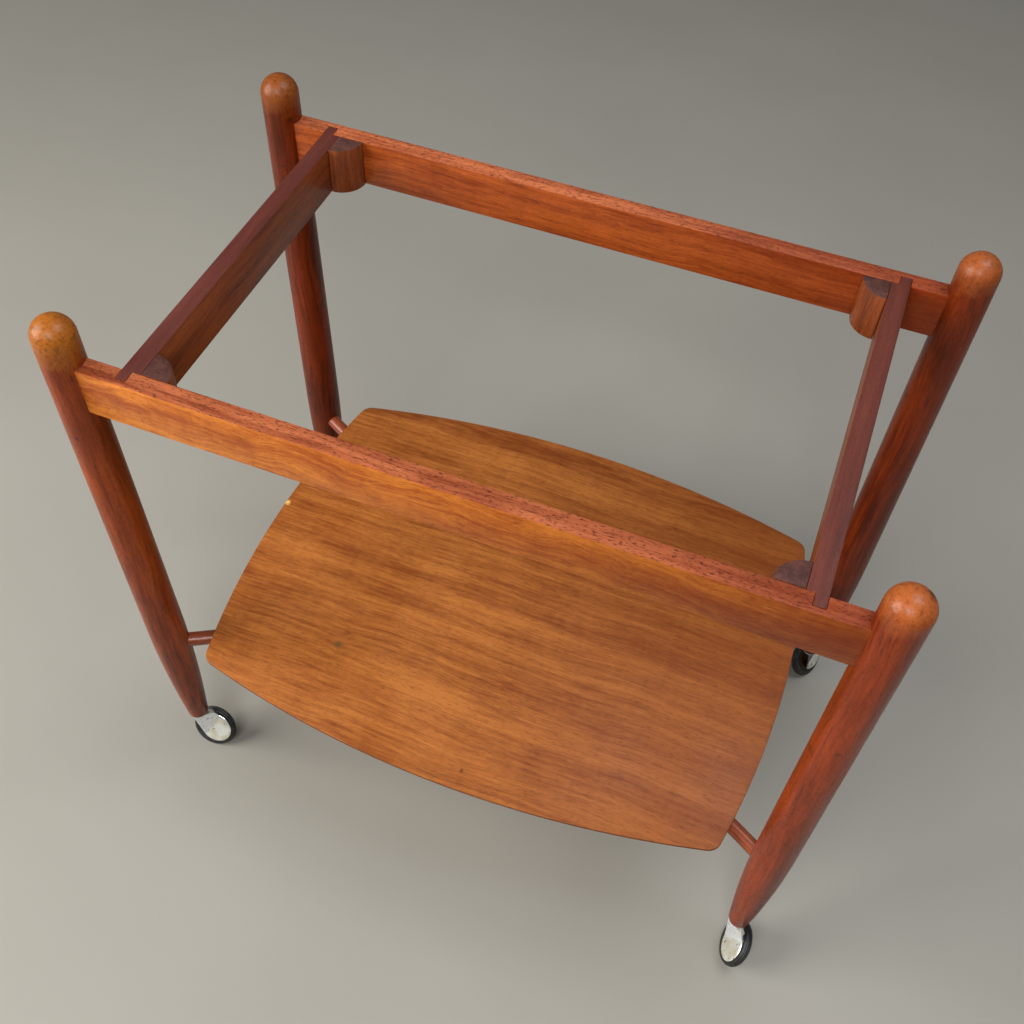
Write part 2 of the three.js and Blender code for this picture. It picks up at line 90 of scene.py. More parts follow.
def wood(name, turn, light, dark, streak, band=(3.5, 60.0), swirl=0.0, contrast=1.0, pore=0.35,
         pore_size=(230.0, 1250.0), gloss=0.42, coat=0.05, ripple=0.0, painted_falloff=None, rub=None,
         knocks=0.0, marks=()):
    """Flat- or quarter-sawn wood whose grain runs along X after the turn. Sizes are in 1/m.

    light and dark are the wood's two tones and streak the colour of its open pores. band is how
    close the growth bands lie along and across the grain and swirl how far they bend. The
    darkening along X, given as (start, end, colour), is painted shade: towards +X the wood turns
    slowly to a darker colour, where the light from the window on the left falls off. rub is
    (height, colour) for wood rubbed bare above a height. marks are (place, radius, colour, strength) spots.
    """
    material, tree = blank_material(name)
    place = put(tree, "ShaderNodeTexCoord").outputs["Object"]
    along = put(tree, "ShaderNodeMapping", {"Vector": place, "Rotation": turn})
    bent = along
    for size, reach in ((5.0, 0.022), (17.0, swirl)):
        wander = put(tree, "ShaderNodeTexNoise", {"Vector": along, "Scale": size, "Detail": 2.0})
        centred = put(tree, "ShaderNodeVectorMath", {0: wander.outputs["Color"], 1: (0.5, 0.5, 0.5)},
                      operation="SUBTRACT")
        bent = put(tree, "ShaderNodeVectorMath", {0: centred, 1: (0.0, reach, reach), 2: bent},
                   operation="MULTIPLY_ADD")
    # growth bands, then streaks a few millimetres wide, then fibres about a millimetre wide
    grain = {}
    for layer, size, detail in (("bands", band, 4.0), ("streaks", (15.0, 270.0), 3.0),
                                ("fibres", (34.0, 780.0), 3.0), ("pores", pore_size, 1.0),
                                ("ripples", (95.0, 28.0), 2.0)):
        scaled = put(tree, "ShaderNodeVectorMath", {0: bent, 1: (size[0], size[1], size[1])},
                     operation="MULTIPLY")
        grain[layer] = put(tree, "ShaderNodeTexNoise", {"Vector": scaled, "Scale": 1.0, "Detail": detail,
                                                        "Roughness": 0.58})
    # pores are really 0.2 mm wide; drawn up to 1 mm wide, as coarse as they need to show
    open_pores = put(tree, "ShaderNodeMapRange", {0: grain["pores"], 1: 0.55, 2: 0.68})
    # slow change of tone over a hand's breadth
    patches = put(tree, "ShaderNodeTexNoise", {"Vector": place, "Scale": 9.0, "Detail": 3.0})
    tone, middle = grain["bands"], 0.5
    for layer, weight in ((grain["streaks"], 0.8), (grain["fibres"], 0.5), (patches, 0.5),
                          (grain["ripples"], ripple)):
        tone = put(tree, "ShaderNodeMath", {0: layer, 1: weight, 2: tone}, operation="MULTIPLY_ADD")
        middle += 0.5 * weight
    spread = 0.26 / contrast
    share = put(tree, "ShaderNodeMapRange", {0: tone, 1: middle - spread, 2: middle + spread})
    colour = put(tree, "ShaderNodeMix", {0: share, 6: srgb(dark), 7: srgb(light)},
                 data_type="RGBA").outputs[2]
    # painted shade: the wood turns darker towards +X, where the light from the window on the left falls off
    if painted_falloff:
        start, end, falloff_tone = painted_falloff
        across = put(tree, "ShaderNodeSeparateXYZ", {0: place})
        turning = put(tree, "ShaderNodeMath", {0: patches, 1: 0.2, 2: across}, operation="MULTIPLY_ADD")
        falloff_share = put(tree, "ShaderNodeMapRange", {0: turning, 1: start + 0.1, 2: end + 0.1, 4: 0.85})
        falloff_mix = put(tree, "ShaderNodeMix", {0: share, 6: srgb(falloff_tone), 7: colour}, data_type="RGBA").outputs[2]
        falloff_mix = put(tree, "ShaderNodeMix", {0: 0.75, 6: falloff_mix, 7: srgb(falloff_tone)}, data_type="RGBA").outputs[2]
        colour = put(tree, "ShaderNodeMix", {0: falloff_share, 6: colour, 7: falloff_mix}, data_type="RGBA").outputs[2]
    # what lies over the wood's own colour, lowest first
    layers = []
    if rub:
        height, bare = rub
        up = put(tree, "ShaderNodeSeparateXYZ", {0: place}).outputs[2]
        blotch = put(tree, "ShaderNodeTexNoise", {"Vector": place, "Scale": 70.0, "Detail": 4.0})
        uneven = put(tree, "ShaderNodeMath", {0: blotch, 1: 0.03, 2: up}, operation="MULTIPLY_ADD")
        worn = put(tree, "ShaderNodeMapRange", {0: uneven, 1: height, 2: height + 0.024, 4: 0.8})
        speck = put(tree, "ShaderNodeTexNoise", {"Vector": place, "Scale": 330.0, "Detail": 3.0})
        specks = put(tree, "ShaderNodeMapRange", {0: speck, 1: 0.50, 2: 0.72, 4: 0.55})
        specks = put(tree, "ShaderNodeMath", {0: specks, 1: worn}, operation="MULTIPLY")
        layers += [(worn, bare), (specks, streak)]
    shade = put(tree, "ShaderNodeMath", {0: open_pores, 1: pore}, operation="MULTIPLY")
    layers.append((shade, streak))
    # knocks: dark bruises a few millimetres across, far apart
    ragged = put(tree, "ShaderNodeTexNoise", {"Vector": place, "Scale": 300.0, "Detail": 2.0})
    if knocks:
        blow = put(tree, "ShaderNodeTexNoise", {"Vector": place, "Scale": 60.0, "Detail": 3.0})
        bruise = put(tree, "ShaderNodeMapRange", {0: blow, 1: 0.68, 2: 0.74, 4: knocks})
        layers.append((bruise, streak))
    for spot, radius, stain, strength in marks:
        away = put(tree, "ShaderNodeVectorMath", {0: place, 1: spot}, operation="DISTANCE").outputs[1]
        rough_edge = put(tree, "ShaderNodeMath", {0: ragged, 1: radius * 1.4, 2: away},
                         operation="MULTIPLY_ADD")
        inside = put(tree, "ShaderNodeMapRange", {0: rough_edge, 1: radius * 1.9, 2: radius, 4: strength})
        layers.append((inside, stain))
    for cover, code in layers:
        colour = put(tree, "ShaderNodeMix", {0: cover, 6: colour, 7: srgb(code)},
                     data_type="RGBA").outputs[2]
    relief = put(tree, "ShaderNodeMath", {0: open_pores, 1: -0.5, 2: grain["fibres"]},
                 operation="MULTIPLY_ADD")
    uneven_shine = put(tree, "ShaderNodeMapRange", {0: patches, 1: 0.3, 2: 0.7,
                                                    3: gloss - 0.07, 4: gloss + 0.10})
    dull = put(tree, "ShaderNodeMath", {0: open_pores, 1: 0.12, 2: uneven_shine},
               operation="MULTIPLY_ADD")
    bump = put(tree, "ShaderNodeBump", {"Height": relief, "Strength": 0.35, "Distance": 0.0002})
    shader = put(tree, "ShaderNodeBsdfPrincipled", {
        "Base Color": colour, "Roughness": dull, "Normal": bump, "IOR": 1.45,
        "Specular IOR Level": 0.25, "Coat Weight": coat, "Coat Roughness": 0.2, "Coat IOR": 1.45})
    put(tree, "ShaderNodeOutputMaterial", {0: shader})
    return material


def stand(name, data):
    """Puts an object at the origin of the scene to hold a mesh, a lamp or a lens."""
    made = bpy.data.objects.new(name, data)
    bpy.context.scene.collection.objects.link(made)
    return made


def finish_piece(name, mesh, materials, body):
    """Puts a mesh in the scene as a piece of the object that rides on a body."""
    for material in materials:
        if material.name not in mesh.materials:
            mesh.materials.append(material)
    piece = stand(name, mesh)
    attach(piece, body)
    return piece


# Upright grain: the turn brings the post's Z to the pattern's X.
UPRIGHT = (0.0, math.pi / 2, 0.0)

# Rubbed teak under thin lacquer: red-brown, with the orange of bare wood on the dome.
post_woods = {
    "front_left": wood("teak_post_front_left", UPRIGHT, "#963F0C", "#581C05", "#1E0B06", knocks=0.6,
                       gloss=0.34, coat=0.06, rub=(0.610, "#A4601E")),
    "front_right": wood("teak_post_front_right", UPRIGHT, "#93380F", "#591D07", "#1E0B06", knocks=0.5,
                        gloss=0.32, coat=0.08, rub=(0.622, "#A85A2A"),
                        marks=(((0.3155, -0.163, 0.632), 0.0045, "#3A1A10", 0.85),)),
    "back_left": wood("teak_post_back_left", UPRIGHT, "#7A2B08", "#421403", "#1E0B06", knocks=0.6,
                      gloss=0.36, coat=0.06, rub=(0.618, "#8A4A1C")),
    "back_right": wood("teak_post_back_right", UPRIGHT, "#7E2D0A", "#461605", "#1E0B06", knocks=0.5,
                       gloss=0.34, coat=0.08, rub=(0.620, "#9A5226")),
}


def turned_post_tree(rings, around):
    """A turned post: an evenly cut sheet is rolled round an upright axis, its radius by height."""
    tree = bpy.data.node_groups.new("turned_post", "GeometryNodeTree")
    tree.interface.new_socket("Post", in_out="OUTPUT", socket_type="NodeSocketGeometry")
    for label in ("Foot Height", "Top Height", "Belly Height", "Foot Radius", "Belly Radius",
                  "Neck Radius", "Foot Arris", "Foot Sweep", "Axis X", "Axis Y"):
        tree.interface.new_socket(label, in_out="INPUT", socket_type="NodeSocketFloat")
    tree.interface.new_socket("Wood", in_out="INPUT", socket_type="NodeSocketMaterial")
    given = put(tree, "NodeGroupInput").outputs
    sheet = put(tree, "GeometryNodeMeshGrid", {"Size X": 1.0, "Size Y": 1.0,
                                               "Vertices X": around + 1, "Vertices Y": rings})
    flat = put(tree, "ShaderNodeSeparateXYZ", {0: put(tree, "GeometryNodeInputPosition")}).outputs
    angle = put(tree, "ShaderNodeMath", {0: flat[0], 1: 2 * math.pi}, operation="MULTIPLY")
    # rings lie closest at the foot and the dome, where the outline bends most
    swing = put(tree, "ShaderNodeMath", {0: flat[1], 1: math.pi}, operation="MULTIPLY")
    swing = put(tree, "ShaderNodeMath", {0: swing}, operation="SINE")
    height = put(tree, "ShaderNodeMapRange", {0: swing, 1: -1.0, 2: 1.0, 3: given["Foot Height"],
                                              4: given["Top Height"]})
    neck = put(tree, "ShaderNodeMath", {0: given["Top Height"], 1: given["Neck Radius"]},
               operation="SUBTRACT")
    taper = put(tree, "ShaderNodeMapRange", {0: height, 1: given["Belly Height"], 2: neck,
                                             3: given["Belly Radius"], 4: given["Neck Radius"]})
    fall = put(tree, "ShaderNodeMapRange", {0: height, 1: given["Belly Height"],
                                            2: given["Foot Height"]})
    fall = put(tree, "ShaderNodeMath", {0: fall, 1: given["Foot Sweep"]}, operation="POWER")
    drawn_in = put(tree, "ShaderNodeMath", {0: given["Belly Radius"], 1: given["Foot Radius"]},
                   operation="SUBTRACT")
    drawn_in = put(tree, "ShaderNodeMath", {0: drawn_in, 1: fall}, operation="MULTIPLY")
    radius = put(tree, "ShaderNodeMath", {0: taper, 1: drawn_in}, operation="SUBTRACT")
    # quarter round along the foot's edge
    above = put(tree, "ShaderNodeMath", {0: height, 1: given["Foot Height"]}, operation="SUBTRACT")
    short = put(tree, "ShaderNodeMath", {0: given["Foot Arris"], 1: above}, operation="SUBTRACT")
    short = put(tree, "ShaderNodeMath", {0: short, 1: 0.0}, operation="MAXIMUM")
    square = put(tree, "ShaderNodeMath", {0: given["Foot Arris"], 1: 2.0}, operation="POWER")
    rest = put(tree, "ShaderNodeMath", {0: short, 1: 2.0}, operation="POWER")
    rest = put(tree, "ShaderNodeMath", {0: square, 1: rest}, operation="SUBTRACT")
    rest = put(tree, "ShaderNodeMath", {0: rest}, operation="SQRT")
    rest = put(tree, "ShaderNodeMath", {0: given["Foot Arris"], 1: rest}, operation="SUBTRACT")
    radius = put(tree, "ShaderNodeMath", {0: radius, 1: rest}, operation="SUBTRACT")
    # half a ball on top
    over = put(tree, "ShaderNodeMath", {0: height, 1: neck}, operation="SUBTRACT")
    over = put(tree, "ShaderNodeMath", {0: over, 1: 0.0}, operation="MAXIMUM")
    over = put(tree, "ShaderNodeMath", {0: over, 1: given["Neck Radius"]}, operation="DIVIDE")
    over = put(tree, "ShaderNodeMath", {0: over, 1: 2.0}, operation="POWER")
    ball = put(tree, "ShaderNodeMath", {0: 1.0, 1: over}, operation="SUBTRACT")
    ball = put(tree, "ShaderNodeMath", {0: ball, 1: 0.0}, operation="MAXIMUM")
    ball = put(tree, "ShaderNodeMath", {0: ball}, operation="SQRT")
    radius = put(tree, "ShaderNodeMath", {0: radius, 1: ball}, operation="MULTIPLY")
    # the lowest ring shrinks to the axis and closes the foot
    closed = put(tree, "ShaderNodeMath", {0: flat[1], 1: -0.4999}, operation="GREATER_THAN")
    radius = put(tree, "ShaderNodeMath", {0: radius, 1: closed}, operation="MULTIPLY")
    cosine = put(tree, "ShaderNodeMath", {0: angle}, operation="COSINE")
    sine = put(tree, "ShaderNodeMath", {0: angle}, operation="SINE")
    place_x = put(tree, "ShaderNodeMath", {0: radius, 1: cosine, 2: given["Axis X"]},
                  operation="MULTIPLY_ADD")
    place_y = put(tree, "ShaderNodeMath", {0: radius, 1: sine, 2: given["Axis Y"]},
                  operation="MULTIPLY_ADD")
    place = put(tree, "ShaderNodeCombineXYZ", {0: place_x, 1: place_y, 2: height})
    rolled = put(tree, "GeometryNodeSetPosition", {"Geometry": sheet, "Position": place})
    joined = put(tree, "GeometryNodeMergeByDistance", {0: rolled, "Distance": 1e-6})
    smooth = put(tree, "GeometryNodeSetShadeSmooth", {0: joined})
    real = put(tree, "GeometryNodeRealizeInstances", {0: smooth})
    coated = put(tree, "GeometryNodeSetMaterial", {0: real, "Material": given["Wood"]})
    put(tree, "NodeGroupOutput", {0: coated})
    return tree


def plain_mesh(name, holder):
    """The mesh that an object's modifiers make of it. The object itself is removed."""
    bpy.context.view_layer.update()
    evaluated = holder.evaluated_get(bpy.context.evaluated_depsgraph_get())
    mesh = bpy.data.meshes.new_from_object(evaluated)
    mesh.name = name
    holder.modifiers.clear()
    bpy.data.objects.remove(holder)
    return mesh


def grow(name, tree, values):
    """Runs a node tree with the given inputs and returns the plain mesh it makes."""
    holder = stand(name + "_tree", bpy.data.meshes.new(name + "_start"))
    modifier = holder.modifiers.new("tree", "NODES")
    modifier.node_group = tree
    for item in tree.interface.items_tree:
        if item.in_out == "INPUT" and item.name in values:
            modifier[item.identifier] = values[item.name]
    return plain_mesh(name, holder)


post_tree = turned_post_tree(rings=150, around=64)
post_axes = {}
for corner in CORNERS:
    low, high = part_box("post_" + corner)
    axis_x, axis_y = (low[0] + high[0]) / 2, (low[1] + high[1]) / 2
    post_axes[corner] = (axis_x, axis_y)
    name = "post_" + corner + "_turned"
    mesh = grow(name, post_tree, {
        "Foot Height": low[2], "Top Height": high[2], "Belly Height": BELLY_HEIGHT,
        "Foot Radius": FOOT_RADIUS, "Belly Radius": (high[0] - low[0]) / 2, "Neck Radius": NECK_RADIUS,
        "Foot Arris": FOOT_ARRIS, "Foot Sweep": FOOT_SWEEP, "Axis X": axis_x, "Axis Y": axis_y,
        "Wood": post_woods[corner]})
    post = finish_piece(name, mesh, [post_woods[corner]], "frame")
    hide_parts("post_" + corner)

# ----------------------------------------------------------
# Long rails. Two flat boards of solid teak between the posts, shoulders scribed to the round
# posts, faces lacquered, top edges left bare under the tray and worn dull, with open pores.

EDGE_ROUND = 0.0007
HOUSING_GAP = 0.00015
TONGUE_THICKNESS = 0.009
STUB_TENON = 0.004


def as_mesh(name, shape):
    """Turns a shape into a mesh and lets the shape go."""
    mesh = bpy.data.meshes.new(name)
    shape.to_mesh(mesh)
    shape.free()
    return mesh


def board(name, outline, low, high, edge):
    """A board of the given plan outline between two heights, its sharp edges rounded.

    Faces that look up get the second material.
    """
    shape = bmesh.new()
    corners = [shape.verts.new((x, y, low)) for x, y in outline]
    base = shape.faces.new(corners)
    grown = bmesh.ops.extrude_face_region(shape, geom=[base])
    lifted = [v for v in grown["geom"] if isinstance(v, bmesh.types.BMVert)]
    bmesh.ops.translate(shape, verts=lifted, vec=(0, 0, high - low))
    bmesh.ops.recalc_face_normals(shape, faces=shape.faces)
    sharp = [e for e in shape.edges if e.calc_face_angle(0) > 0.5]
    bmesh.ops.bevel(shape, geom=sharp, offset=edge, segments=2, profile=0.5, affect="EDGES")
    for face in shape.faces:
        face.material_index = 1 if face.normal.z > 0.8 else 0
        face.smooth = True
    mesh = as_mesh(name, shape)
    mesh.set_sharp_from_angle(angle=math.radians(40))
    return mesh


ALONG_X = (0.0, 0.0, 0.0)
ALONG_Y = (0.0, 0.0, math.pi / 2)
# The back rail's face is coloured darker than the front rail's: painted shade, as its face gets less light.
# The darkening towards +X on both faces is painted shade too.
rail_faces = {
    "front": wood("teak_front_rail_face", ALONG_X, "#CC7829", "#92430F", "#45200E", band=(4.5, 60.0),
                  swirl=0.022, pore=0.35, gloss=0.34, ripple=0.25, painted_falloff=(0.02, 0.25, "#6E2606")),
    "back": wood("teak_back_rail_face_painted_shade", ALONG_X, "#A8501C", "#6C2808", "#3A160A", band=(3.0, 50.0),
                 swirl=0.006, pore=0.35, gloss=0.34, ripple=0.2, painted_falloff=(0.05, 0.27, "#742606"))}
# painted shade: the bare rail top also darkens towards +X, where the light falls off
rail_top = wood("teak_rail_top_bare", ALONG_X, "#B0603A", "#7A3518", "#3A160B", band=(5.0, 110.0),
                contrast=1.3, pore=0.8, pore_size=(260.0, 1050.0), gloss=0.6, coat=0.0,
                painted_falloff=(0.05, 0.25, "#7C3114"))

cross_low, cross_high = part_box("cross_rail_right")
for side, sign in (("front", -1), ("back", 1)):
    low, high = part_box("long_rail_" + side)
    outer = low[1] if sign < 0 else high[1]
    inner = high[1] if sign < 0 else low[1]
    tongue_end = cross_low[1] if sign < 0 else cross_high[1]
    reach = post_axes["front_right"][0] - NECK_RADIUS + STUB_TENON
    slot_out = cross_high[0] + HOUSING_GAP
    slot_in = cross_high[0] - TONGUE_THICKNESS - HOUSING_GAP
    slot_floor = tongue_end + sign * HOUSING_GAP
    outline = [(-reach, outer), (reach, outer), (reach, inner), (slot_out, inner), (slot_out, slot_floor),
               (slot_in, slot_floor), (slot_in, inner), (-slot_in, inner), (-slot_in, slot_floor),
               (-slot_out, slot_floor), (-slot_out, inner), (-reach, inner)]
    name = "long_rail_" + side + "_board"
    mesh = board(name, outline, low[2], high[2], EDGE_ROUND)
    rail = finish_piece(name, mesh, [rail_faces[side], rail_top], "frame")
    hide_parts("long_rail_" + side)

# ----------------------------------------------------------
# Cross rails. The same board across the frame, a tongue on each end let into the long rails
# flush with their outer face, and the top edge bare like theirs.

cross_face = wood("teak_cross_rail_face", ALONG_Y, "#84401C", "#4E200E", "#241009", band=(3.0, 60.0),
                  pore=0.3, gloss=0.40, coat=0.1)
cross_top = wood("teak_cross_rail_top_bare", ALONG_Y, "#643026", "#4A211A", "#2C120D", band=(5.0, 120.0),
                 pore=0.25, contrast=0.6, gloss=0.6, coat=0.0)
long_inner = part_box("long_rail_back")[0][1]
for side, sign in (("left", -1), ("right", 1)):
    low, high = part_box("cross_rail_" + side)
    outer = high[0] if sign > 0 else low[0]
    inner = low[0] if sign > 0 else high[0]
    thin = outer - sign * TONGUE_THICKNESS
    outline = [(outer, low[1]), (outer, high[1]), (thin, high[1]), (thin, long_inner), (inner, long_inner),
               (inner, -long_inner), (thin, -long_inner), (thin, low[1])]
    name = "cross_rail_" + side + "_board"
    mesh = board(name, outline, low[2], high[2], EDGE_ROUND)
    rail = finish_piece(name, mesh, [cross_face, cross_top], "frame")
    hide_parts("cross_rail_" + side)

# ----------------------------------------------------------
# Corner blocks. Quarter rounds of teak with upright grain, glued into the frame's inner
# corners to stiffen them, so their tops show dark end grain.

BLOCK_ARRIS = 0.0004
BLOCK_STEPS = 24
block_side = wood("teak_block_side", UPRIGHT, "#86421E", "#4C200E", "#241009", gloss=0.42)
block_end = wood("teak_block_end_grain", UPRIGHT, "#5E3830", "#3C221D", "#22100C", band=(40.0, 90.0),
                 pore=0.6, gloss=0.65, coat=0.0)
for corner in CORNERS:
    low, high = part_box("corner_block_" + corner)
    side_x = 1 if "right" in corner else -1
    side_y = 1 if "back" in corner else -1
    corner_x = high[0] if side_x > 0 else low[0]
    corner_y = high[1] if side_y > 0 else low[1]
    radius = high[0] - low[0]
    outline = [(corner_x, corner_y)]
    for i in range(BLOCK_STEPS + 1):
        angle = math.pi / 2 * i / BLOCK_STEPS
        outline.append((corner_x - side_x * radius * math.cos(angle),
                        corner_y - side_y * radius * math.sin(angle)))
    name = "corner_block_" + corner + "_quarter"
    mesh = board(name, outline, low[2], high[2], BLOCK_ARRIS)
    block = finish_piece(name, mesh, [block_side, block_end], "frame")
    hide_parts("corner_block_" + corner)

# ----------------------------------------------------------
# Stretchers. Two round teak dowels from post to opposite post, glued into blind holes and
# halved over each other where they cross, carrying the shelf.

DOWEL_RADIUS = 0.0072
DOWEL_FACETS = 40
DOWEL_STEPS = 60
DOWEL_STOP = 0.006
NOTCH_LENGTH = 0.06
NOTCH_PLAY = 0.0004
dowel_low, dowel_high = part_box("stretcher_a")
dowel_height = (dowel_low[2] + dowel_high[2]) / 2
dowel_turn = math.atan2(post_axes["back_right"][1], post_axes["back_right"][0])
dowel_reach = math.hypot(*post_axes["back_right"]) - DOWEL_STOP


def dowel_mesh(name, turn, keep_below):
    """One dowel with its half of the crossing cut away."""
    rod = bmesh.new()
    rings = []
    for i in range(DOWEL_STEPS + 1):
        along = -dowel_reach + 2 * dowel_reach * i / DOWEL_STEPS
        ring = []
        for j in range(DOWEL_FACETS):
            angle = 2 * math.pi * j / DOWEL_FACETS
            ring.append(rod.verts.new((along, DOWEL_RADIUS * math.cos(angle),
                                       DOWEL_RADIUS * math.sin(angle))))
        rings.append(ring)
    for first, second in zip(rings, rings[1:]):
        for j in range(DOWEL_FACETS):
            k = (j + 1) % DOWEL_FACETS
            rod.faces.new((first[j], second[j], second[k], first[k]))
    rod.faces.new(rings[0])
    rod.faces.new(reversed(rings[-1]))
    bmesh.ops.recalc_face_normals(rod, faces=rod.faces)
    for face in rod.faces:
        face.smooth = len(face.verts) == 4
    rod.transform(Matrix.Translation((0, 0, dowel_height)) @ Matrix.Rotation(turn, 4, "Z"))
    rod_object = stand(name + "_rod", as_mesh(name, rod))
    cutter = bmesh.new()
    bmesh.ops.create_cube(cutter, size=1.0)
    depth = DOWEL_RADIUS + 0.001
    lift = depth / 2 if keep_below else -depth / 2
    size = Matrix.Diagonal((NOTCH_LENGTH, 2 * DOWEL_RADIUS + NOTCH_PLAY, depth, 1.0))
    cutter.transform(Matrix.Translation((0, 0, dowel_height + lift)) @ Matrix.Rotation(-turn, 4, "Z") @ size)
    notch_object = stand(name + "_cut", as_mesh(name + "_notch", cutter))
    cut = rod_object.modifiers.new("halving", "BOOLEAN")
    cut.operation = "DIFFERENCE"
    cut.object = notch_object
    cut.solver = "EXACT"
    mesh = plain_mesh(name, rod_object)
    bpy.data.objects.remove(notch_object)
    return mesh


for letter, turn, keep_below in (("a", dowel_turn, True), ("b", -dowel_turn, False)):
    dowel_wood = wood("teak_dowel_" + letter, (0.0, 0.0, -turn), "#96492A", "#5C2614", "#2B130B",
                      gloss=0.26, coat=0.4)
    name = "stretcher_" + letter + "_dowel"
    dowel = finish_piece(name, dowel_mesh(name, turn, keep_below), [dowel_wood], "frame")
    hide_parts("stretcher_" + letter)

# ----------------------------------------------------------
# Shelf. A board veneered with striped teak, all four sides bowed, the edge thinned by a wide
# bevel underneath. It lies on the dowels and is screwed to them from below.

shelf_low, shelf_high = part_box("shelf")
SHELF_EDGE = 0.0035
SHELF_BEVEL = 0.014
SHELF_ARRIS = 0.0006
BEVEL_HOLLOW = 0.0006
SIDE_BOW = 1.020
END_BOW = 0.880
CORNER_ROUND = 0.014


def bowed_outline(inset):
    """The shelf's outline moved in by an inset: two bows per quarter with a corner arc between."""
    side = SIDE_BOW - inset
    end = END_BOW - inset
    corner = CORNER_ROUND
    side_y = shelf_high[1] - SIDE_BOW
    end_x = shelf_high[0] - END_BOW
    span = math.hypot(end_x, side_y)
    to_side = side - corner
    to_end = end - corner
    along = (to_side ** 2 - to_end ** 2 + span ** 2) / (2 * span)
    across = math.sqrt(to_side ** 2 - along ** 2)
    unit_x, unit_y = end_x / span, -side_y / span
    centre_x = along * unit_x + across * unit_y
    centre_y = side_y + along * unit_y - across * unit_x
    end_turn = math.atan2(centre_y, centre_x - end_x)
    side_turn = math.atan2(centre_y - side_y, centre_x)
    quarter = []
    for x, y, radius, start, stop, steps in (
            (end_x, 0.0, end, 0.0, end_turn, 12),
            (centre_x, centre_y, corner, end_turn, side_turn, 10),
            (0.0, side_y, side, side_turn, math.pi / 2, 18)):
        for i in range(steps):
            angle = start + (stop - start) * i / steps
            quarter.append((x + radius * math.cos(angle), y + radius * math.sin(angle)))
    quarter.append((0.0, shelf_high[1] - inset))
    points = list(quarter)
    points += [(-x, y) for x, y in reversed(quarter[:-1])]
    points += [(-x, -y) for x, y in quarter[1:]]
    points += [(x, -y) for x, y in reversed(quarter[1:-1])]
    return points


def shelf_mesh(name):
    """The shelf as rings from the middle of its top, over its edge, to the bevel underneath."""
    top, bottom = shelf_high[2], shelf_low[2]
    edge_low = top - SHELF_EDGE
    outline = []
    for step in range(4):
        angle = math.pi / 2 * step / 3
        outline.append((SHELF_ARRIS * (1 - math.sin(angle)), top - SHELF_ARRIS * (1 - math.cos(angle)), 0))
    outline.append((0.0, edge_low + SHELF_ARRIS / 2, 1))
    for share in (0.0, 0.25, 0.5, 0.75, 1.0):
        sag = BEVEL_HOLLOW * math.sin(math.pi * share)
        outline.append((SHELF_BEVEL * share + SHELF_ARRIS / 2 * (1 - share),
                        edge_low + (bottom - edge_low) * share - sag * (1 - share), 2))
    shape = bmesh.new()
    rings = []
    for inset, height, band in outline:
        rings.append(([shape.verts.new((x, y, height)) for x, y in bowed_outline(inset)], band))
    count = len(rings[0][0])
    for (upper, _), (lower, band) in zip(rings, rings[1:]):
        for i in range(count):
            j = (i + 1) % count
            face = shape.faces.new((upper[i], lower[i], lower[j], upper[j]))
            face.material_index = band
            face.smooth = True
    lid = shape.faces.new(rings[0][0])
    lid.material_index = 0
    under = shape.faces.new(reversed(rings[-1][0]))
    under.material_index = 2
    bmesh.ops.recalc_face_normals(shape, faces=shape.faces)
    mesh = as_mesh(name, shape)
    mesh.set_sharp_from_angle(angle=math.radians(30))
    return mesh


# painted shade: the veneer darkens towards +X, where the light from the window falls off
shelf_veneer = wood("teak_veneer_striped", ALONG_X, "#A8642B", "#743812", "#40200C", band=(0.9, 30.0),
                    pore=0.35, pore_size=(150.0, 1100.0), gloss=0.42, coat=0.03, ripple=0.2,
                    painted_falloff=(0.02, 0.34, "#7E3C12"),
                    marks=(((-0.2755, 0.022, 0.2200), 0.0035, "#E0B45A", 0.9),
                           ((-0.145, -0.118, 0.2200), 0.0040, "#4A4428", 0.8),
                           ((0.02, -0.196, 0.2200), 0.0022, "#4A2412", 0.8)))
shelf_lipping = wood("teak_lipping_edge", ALONG_X, "#7A4420", "#54280F", "#2B130B", gloss=0.45)
shelf_under = wood("shelf_underside_unlacquered", ALONG_X, "#A8763E", "#835326", "#5A3216",
                   gloss=0.6, coat=0.0)
shelf = finish_piece("shelf_board", shelf_mesh("shelf_board"),
                     [shelf_veneer, shelf_lipping, shelf_under], "frame")
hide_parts("shelf")

# ----------------------------------------------------------
# Shelf screws. Four slotted countersunk screws, zinc-plated steel, driven up through the dowels
# into the shelf with their heads flush underneath.

SCREW_SLOT = 0.0010
SCREW_SHANK = 0.0019


def aged_metal(name, blotches, dark, light, shine):
    """Plated metal gone dull in blotches (size in 1/m). shine is the least and most roughness."""
    material, tree = blank_material(name)
    place = put(tree, "ShaderNodeTexCoord").outputs["Object"]
    bloom = put(tree, "ShaderNodeTexNoise", {"Vector": place, "Scale": blotches, "Detail": 4.0})
    tone = put(tree, "ShaderNodeMix", {0: bloom, 6: srgb(dark), 7: srgb(light)}, data_type="RGBA").outputs[2]
    dull = put(tree, "ShaderNodeMapRange", {0: bloom, 3: shine[0], 4: shine[1]})
    shader = put(tree, "ShaderNodeBsdfPrincipled", {"Base Color": tone, "Roughness": dull, "Metallic": 1.0})
    put(tree, "ShaderNodeOutputMaterial", {0: shader})
    return material


# Zinc goes dull and blotchy grey with age.
screw_steel = aged_metal("zinc_plated_steel", 260.0, "#6E6C66", "#B4B2AC", (0.30, 0.55))


